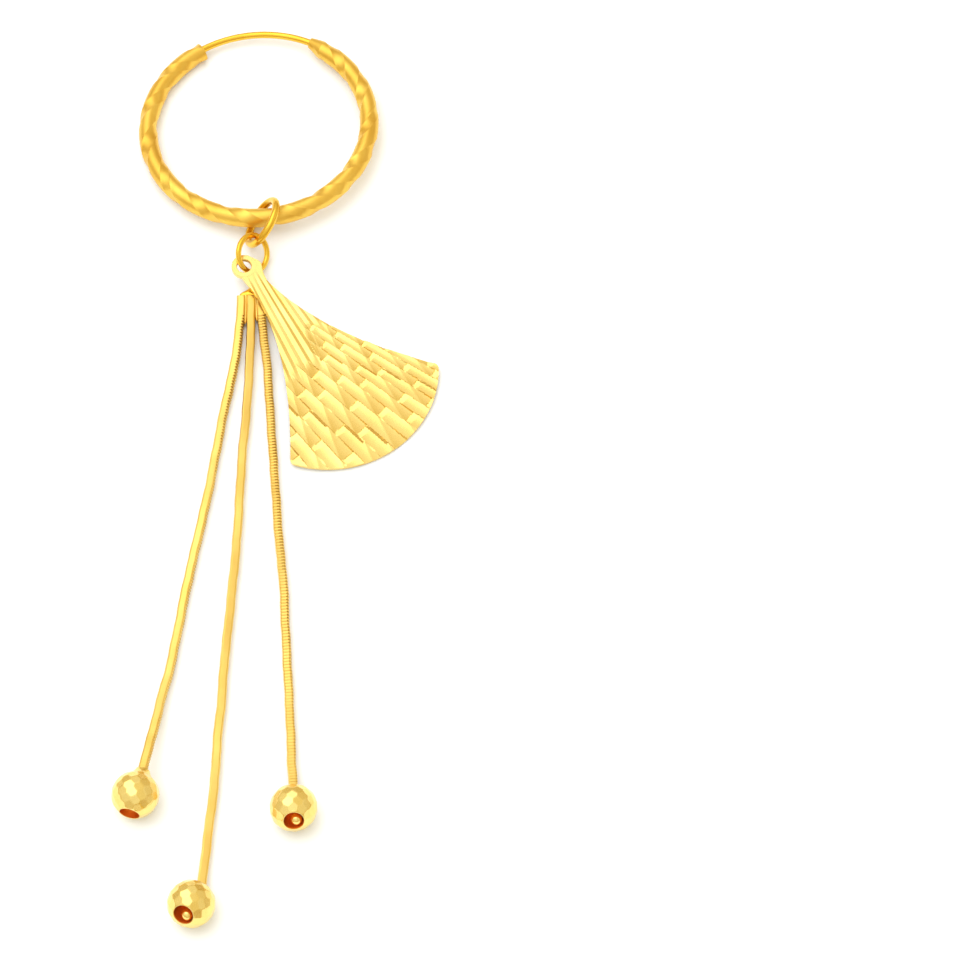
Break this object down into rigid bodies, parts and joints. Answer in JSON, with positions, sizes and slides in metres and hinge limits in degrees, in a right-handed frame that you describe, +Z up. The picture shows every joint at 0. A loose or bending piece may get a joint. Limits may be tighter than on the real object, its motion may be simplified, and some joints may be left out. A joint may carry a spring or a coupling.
{
  "type": "fan drop hoop earring",
  "caption": "Gold hoop earring with a fan-shaped drop and three snake chains that end in faceted beads, lying flat.",
  "frame": {"origin": "middle of the earring's bounding box, on the table that it lies on", "axes": "+Y along the earring from the beads to the hoop, +Z up from the table, +X to the right seen from the beads' side"},
  "size_m": [0.0226, 0.0731, 0.0036],
  "materials": {
    "gold_cut": "diamond-cut gold with a brushed background",
    "gold_polished": "polished gold",
    "gold_chain": "polished gold snake chain"
  },
  "bodies": {
    "root": {"hoop_tube": "gold_cut", "ear_wire": "gold_polished", "upper_ring": "gold_polished", "lower_ring": "gold_polished", "fan": "gold_cut", "chain_loop": "gold_polished", "chain_left": "gold_chain", "chain_middle": "gold_chain", "chain_right": "gold_chain", "bead_left": "gold_cut", "bead_middle": "gold_cut", "bead_right": "gold_cut", "stop_left": "gold_polished", "stop_middle": "gold_polished", "stop_right": "gold_polished"}
  },
  "joints": []
}
